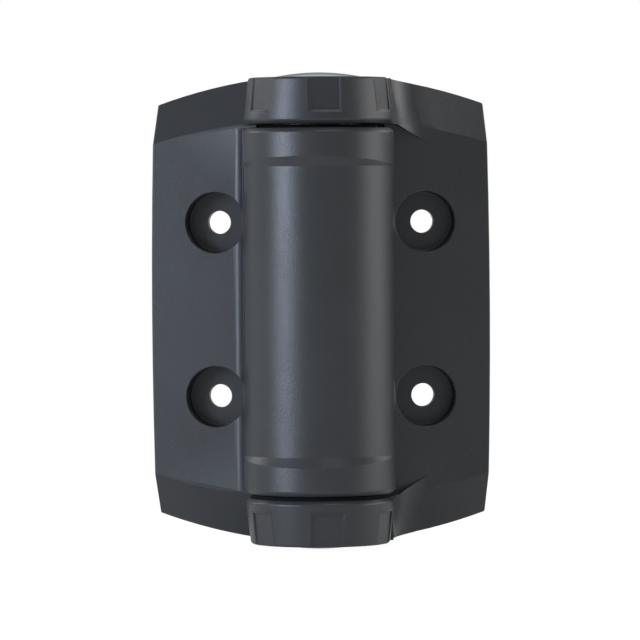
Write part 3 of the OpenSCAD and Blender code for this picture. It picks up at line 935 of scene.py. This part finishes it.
@dataclass
class CoilSpring:
    """A round wire wound into a left-hand coil, with or without tangs along the axis.

    Attributes:
        node: The CAD node it stands for.
        body: The body it rides on.
        coil_mm: Radius of the coil at the wire's middle.
        wire_mm: Diameter of the wire.
        turns: Turns of the coil.
        tang_mm: Bend radius and straight length of the tangs, or None.
        start_deg: Where round the axis the coil starts.
        steps: Facets along one turn of the coil.
        bend_points: Points along a tang's bend.
        sides: Facets round the wire.
    """

    node: str
    body: Body
    coil_mm: float
    wire_mm: float
    turns: int
    tang_mm: tuple[float, float] | None = None
    start_deg: float = 0.0
    steps: int = 40
    bend_points: int = 9
    sides: int = 14

    def path(self, low: float, high: float) -> np.ndarray:
        """Works out the wire's middle line.

        The coil turns clockwise as it rises at an even pitch. At each end a quarter
        circle bends the wire out of the coil's circle into a straight tang.

        Args:
            low: Level of the wire's middle at the coil's lower end.
            high: The same at its upper end.

        Returns:
            Points along the wire.
        """
        radius = self.coil_mm * MM
        turn = np.linspace(0.0, FULL_TURN * self.turns, self.steps * self.turns + 1)
        level = np.interp(turn, [0.0, turn[-1]], [low, high])
        coil = np.stack([radius * np.cos(turn), -radius * np.sin(turn), level], axis=1)
        if self.tang_mm is None:
            return coil
        bend, straight = (v * MM for v in self.tang_mm)
        way = np.linspace(0.0, math.pi / 2.0, self.bend_points)[1:]
        rise = bend * (1.0 - np.cos(way))
        arc = np.stack([np.zeros_like(way), -bend * np.sin(way), rise], axis=1)
        run = np.vstack([arc, [0.0, -bend, bend + straight]])
        return np.vstack([(coil[0] - run)[::-1], coil, coil[-1] + run])

    def tube(self, path: np.ndarray) -> np.ndarray:
        """Carries a circle along the wire, square to it.

        One axis of the circle points away from the pivot axis and the other is square
        to it and to the wire.

        Args:
            path: Points along the wire.

        Returns:
            A grid of rings by points round each.
        """
        way = np.gradient(path, axis=0)
        way /= np.linalg.norm(way, axis=1, keepdims=True)
        out = path * np.array([1.0, 1.0, 0.0])
        out -= (out * way).sum(axis=1, keepdims=True) * way
        out /= np.linalg.norm(out, axis=1, keepdims=True)
        side = np.cross(way, out)
        angle = np.linspace(0.0, FULL_TURN, self.sides, endpoint=False)[None, :, None]
        ring = np.cos(angle) * out[:, None, :] + np.sin(angle) * side[:, None, :]
        return path[:, None, :] + 0.5 * self.wire_mm * MM * ring

    def build(self, material: bpy.types.Material) -> bpy.types.Object:
        """Makes the spring between the levels of its CAD node.

        Args:
            material: The finish.

        Returns:
            The new piece.
        """
        low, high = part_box(self.node)
        reach = sum(self.tang_mm) * MM if self.tang_mm else 0.5 * self.wire_mm * MM
        points = self.tube(self.path(low.z + reach, high.z - reach))
        turn = np.array(Matrix.Rotation(math.radians(self.start_deg), 3, "Z"))
        mesh = grid_mesh(self.node + "_wire", points @ turn.T, close_columns=True)
        close_and_orient(mesh)
        piece = new_object(self.node + "_wire", mesh, material)
        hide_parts(self.node)
        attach(piece, self.body.value)
        LOG.info("%s rides on %s", piece.name, self.body.value)
        return piece


@dataclass
class Mechanism:
    """The pieces inside the barrel and the knuckles.

    Attributes:
        rounded: Turned or cast pieces whose edges are broken.
        plain: CAD nodes that keep their shape, by finish.
        springs: The wound springs.
    """

    rounded: tuple[tuple[Moulding, PlainFinish], ...] = (
        (Moulding("adjuster", Body.LOCK_ADJUSTER, Slot.ZINC, 0.08, 2), DIE_CAST_ZINC),
        (Moulding("retaining_rings", Body.POST_SIDE, Slot.RING, 0.12, 2), RING_STEEL),
    )
    plain: tuple[tuple[PlainFinish, tuple[str, ...]], ...] = (
        (DIE_CAST_ZINC, ("lock_ring", "lower_pivot")),
        (
            NATURAL_ACETAL,
            ("spring_cup", "upper_bush", "spring_guide", "spring_anchor", "lower_bush"),
        ),
        # The washers carry painted shade for the gaps beside the barrel
        (BLACK_ACETAL_GAP_SHADE, ("upper_washer", "lower_washer")),
    )
    springs: tuple[CoilSpring, ...] = (
        CoilSpring("torsion_spring", Body.GATE_SIDE, 13.6, 3.5, 16, (3.5, 1.4), -15.0),
        CoilSpring("lock_spring", Body.TENSION_CUP, 5.2, 1.2, 5),
    )

    def build(self) -> None:
        """Dresses every piece of the mechanism, with one material for each finish."""
        built: dict[str, bpy.types.Material] = {}
        for moulding, finish in self.rounded:
            built[finish.name] = finish.build()
            moulding.build(built[finish.name])
        for finish, nodes in self.plain:
            if finish.name not in built:
                built[finish.name] = finish.build()
            for node in nodes:
                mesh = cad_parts[node].data
                mesh.materials.clear()
                mesh.materials.append(built[finish.name])
                LOG.info("%s keeps its solid", node)
        wire = SPRING_WIRE.build()
        for spring in self.springs:
            spring.build(wire)


@dataclass(frozen=True)
class Softbox:
    """A soft lamp that hangs round the hinge.

    Attributes:
        name: The lamp's name.
        round_deg: Where it hangs, in degrees from the hinge's front to its right.
        lift_deg: How far it is above the hinge's middle.
        size_m: Its width and height.
        watts: Its power.
        distance_m: Its distance from the hinge.
        colour: The colour of its light.
    """

    name: str
    round_deg: float
    lift_deg: float
    size_m: tuple[float, float]
    watts: float
    distance_m: float = 1.2
    colour: str = "#ffffff"

    def hang(self) -> None:
        """Hangs the lamp so that it faces the hinge."""
        turn, lift = math.radians(self.round_deg), math.radians(self.lift_deg)
        flat = math.cos(lift)
        way = Vector((math.sin(turn) * flat, -math.cos(turn) * flat, math.sin(lift)))
        data = bpy.data.lights.new(self.name, "AREA")
        data.shape = "RECTANGLE"
        data.size, data.size_y = self.size_m
        data.energy = self.watts
        data.color = linear(self.colour)[:3]
        lamp = bpy.data.objects.new(self.name, data)
        lamp.location = self.distance_m * way
        lamp.rotation_euler = (-way).to_track_quat("-Z", "Y").to_euler()
        bpy.context.scene.collection.objects.link(lamp)
        LOG.info("%s gives %.1f W", self.name, self.watts)


@dataclass
class Studio:
    """A pale floor, a white surround and soft lamps at a plain level.

    Attributes:
        floor_side_m: Side of the floor.
        floor_gap_mm: How far the floor is under the hinge.
        floor_mirrored: How white the floor is where a glossy surface mirrors it.
        floor_white: The share of plain white in the floor, the rest taking shadow.
        floor_glow: Strength of that white.
        surround: Strength of the light that comes from all round.
        mirrored: How bright the surround is where a glossy surface mirrors it.
        softboxes: The lamps, of which the left one leads.
    """

    floor_side_m: float = 6.0
    floor_gap_mm: float = 0.1
    floor_mirrored: float = 0.3
    floor_white: float = 0.88
    floor_glow: float = 1.1
    surround: float = 0.31
    mirrored: float = 0.06
    softboxes: tuple[Softbox, ...] = (
        Softbox("left_softbox", -61.0, 8.0, (0.44, 0.6), 11.4, colour="#dceaff"),
        Softbox("back_left_softbox", -124.0, 24.0, (0.5, 0.6), 2.4),
        Softbox("right_softbox", 84.0, 0.0, (0.8, 0.9), 6.0),
        Softbox("back_right_softbox", 118.0, 26.0, (0.5, 0.6), 2.1),
        Softbox("top_softbox", 20.0, 62.0, (0.6, 0.6), 2.2),
        Softbox("dome_softbox", 180.0, 30.0, (0.7, 0.4), 0.8, colour="#cfe3ff"),
    )

    def paper(self) -> bpy.types.Material:
        """Makes the floor's paper, matt and plain.

        It looks white to the camera and in reflections, and still takes a part of the
        hinge's shadow.

        Returns:
            The new material.
        """
        material = bpy.data.materials.new("pale_floor")
        tree = blank_tree(material)
        path = add_node(tree, "ShaderNodeLightPath").outputs
        mirror = calculate(tree, "MULTIPLY", path["Is Glossy Ray"], self.floor_mirrored)
        seen = calculate(tree, "MAXIMUM", path["Is Camera Ray"], mirror)
        share = calculate(tree, "MULTIPLY", seen, self.floor_white)
        matt = add_node(tree, "ShaderNodeBsdfDiffuse", {"Color": linear("#f2f2f2")})
        glow = add_node(
            tree, "ShaderNodeEmission", {"Color": linear("#ffffff"), "Strength": self.floor_glow}
        )
        cover = add_node(
            tree,
            "ShaderNodeMixShader",
            {0: share, 1: matt.outputs["BSDF"], 2: glow.outputs["Emission"]},
        )
        add_node(tree, "ShaderNodeOutputMaterial", {"Surface": cover.outputs["Shader"]})
        return material

    def floor(self) -> None:
        """Lays the floor under the lower cap."""
        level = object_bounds()[0][2] - self.floor_gap_mm * MM
        half = self.floor_side_m / 2.0
        across = np.linspace(-half, half, 3)
        x, y = np.meshgrid(across, across, indexing="ij")
        # The columns run backwards, so that the faces look up
        points = np.stack([x, y, np.full_like(x, level)], axis=2)[:, ::-1]
        mesh = grid_mesh("floor", points)
        new_object("floor", mesh, self.paper())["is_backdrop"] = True
        LOG.info("floor lies at %.1f mm", level / MM)

    def surround_light(self) -> None:
        """Gives the world a plain light, and white where it is seen or mirrored."""
        world = bpy.data.worlds.new("white_surround")
        bpy.context.scene.world = world
        tree = blank_tree(world)
        path = add_node(tree, "ShaderNodeLightPath").outputs
        direct = calculate(tree, "MAXIMUM", path["Is Camera Ray"], path["Is Transmission Ray"])
        strength = add_node(
            tree,
            "ShaderNodeMapRange",
            {"Value": direct, "To Min": self.surround, "To Max": 1.0},
        ).outputs["Result"]
        total = calculate(tree, "MULTIPLY_ADD", path["Is Glossy Ray"], self.mirrored, strength)
        light = add_node(
            tree, "ShaderNodeBackground", {"Color": linear("#ffffff"), "Strength": total}
        )
        add_node(tree, "ShaderNodeOutputWorld", {"Surface": light.outputs["Background"]})

    def build(self) -> None:
        """Sets up floor, surround and lamps."""
        self.floor()
        self.surround_light()
        for softbox in self.softboxes:
            softbox.hang()


@dataclass
class PhotoCamera:
    """The photograph's view: nearly straight on, a little to the barrel leaf's side.

    Attributes:
        distance_m: Distance from the pivot's middle.
        azimuth_deg: How far the view is turned towards the barrel leaf.
        elevation_deg: How far the camera looks down.
        roll_deg: How far the hinge leans to the left in the image.
        mm_per_px: Scale at the pivot axis.
        pivot_px: Where the pivot's middle lies in the image.
    """

    distance_m: float = 1.45
    azimuth_deg: float = 6.0
    elevation_deg: float = 1.58
    roll_deg: float = 0.35
    mm_per_px: float = 0.2884
    pivot_px: tuple[float, float] = (319.2, 310.5)

    def build(self) -> None:
        """Places the camera and makes it the scene's."""
        turn, tilt = math.radians(self.azimuth_deg), math.radians(self.elevation_deg)
        flat = math.cos(tilt)
        ahead = Vector((math.sin(turn) * flat, math.cos(turn) * flat, -math.sin(tilt)))
        right = Vector((math.cos(turn), -math.sin(turn), 0.0))
        up = right.cross(ahead)
        step = self.mm_per_px * MM
        aside = (IMAGE_SIDE / 2.0 - self.pivot_px[0]) * step
        above = (self.pivot_px[1] - IMAGE_SIDE / 2.0) * step
        middle = aside * right + above * up
        lean = math.radians(self.roll_deg)
        across = right * math.cos(lean) - up * math.sin(lean)
        upright = up * math.cos(lean) + right * math.sin(lean)
        axes = Matrix((across, upright, -ahead)).transposed().to_4x4()
        data = bpy.data.cameras.new("photo_camera")
        data.sensor_width = SENSOR_MM
        data.lens = SENSOR_MM * self.distance_m / (IMAGE_SIDE * step)
        data.clip_start, data.clip_end = CLIP_M
        camera = bpy.data.objects.new("photo_camera", data)
        camera.matrix_world = Matrix.Translation(middle - self.distance_m * ahead) @ axes
        bpy.context.scene.collection.objects.link(camera)
        bpy.context.scene.camera = camera


@dataclass
class Hinge:
    """The whole hinge: two leaves, their caps and the mechanism.

    Attributes:
        post_marks: Marks of the mould on the knuckle leaf.
        gate_marks: Marks of the mould on the barrel leaf, drawn at rest.
        mechanism: The pieces inside.
    """

    post_marks: tuple[WitnessMark, ...] = (WitnessMark((45.0, 11.8, -42.7), 0.9, 0.12),)
    gate_marks: tuple[WitnessMark, ...] = (WitnessMark((-33.2, 23.5, 55.2), 1.6, 0.05),)
    mechanism: Mechanism = field(default_factory=Mechanism)

    def build(self) -> None:
        """Builds every piece, the leaves first."""
        post = FilledNylon(
            "glass_filled_nylon_post_leaf", marks=self.post_marks, flutes=GripFlutes()
        ).build()
        gate = FilledNylon("glass_filled_nylon_gate_leaf", marks=self.gate_marks).build()
        Moulding(
            "knuckle_leaf", Body.POST_SIDE, Slot.LEAF, zones=KNUCKLE_ZONES
        ).build(post)
        Moulding(
            "barrel_leaf", Body.GATE_SIDE, Slot.LEAF, zones=BARREL_ZONES, crease=COLLAR_CREASE
        ).build(gate)
        cap = CAP_POLYMER.build()
        EndCap("top_cap", Body.UPPER_CAP, 1.0).build(cap)
        EndCap("bottom_cap", Body.POST_SIDE, -1.0).build(cap)
        self.mechanism.build()


def main() -> None:
    """Builds the hinge and its studio."""
    logging.basicConfig(level=logging.INFO, format="%(message)s")
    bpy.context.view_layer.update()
    PhotoCamera().build()
    Hinge().build()
    Studio().build()
    bpy.context.scene.view_settings.view_transform = "Standard"


if __name__ == "__main__":
    main()
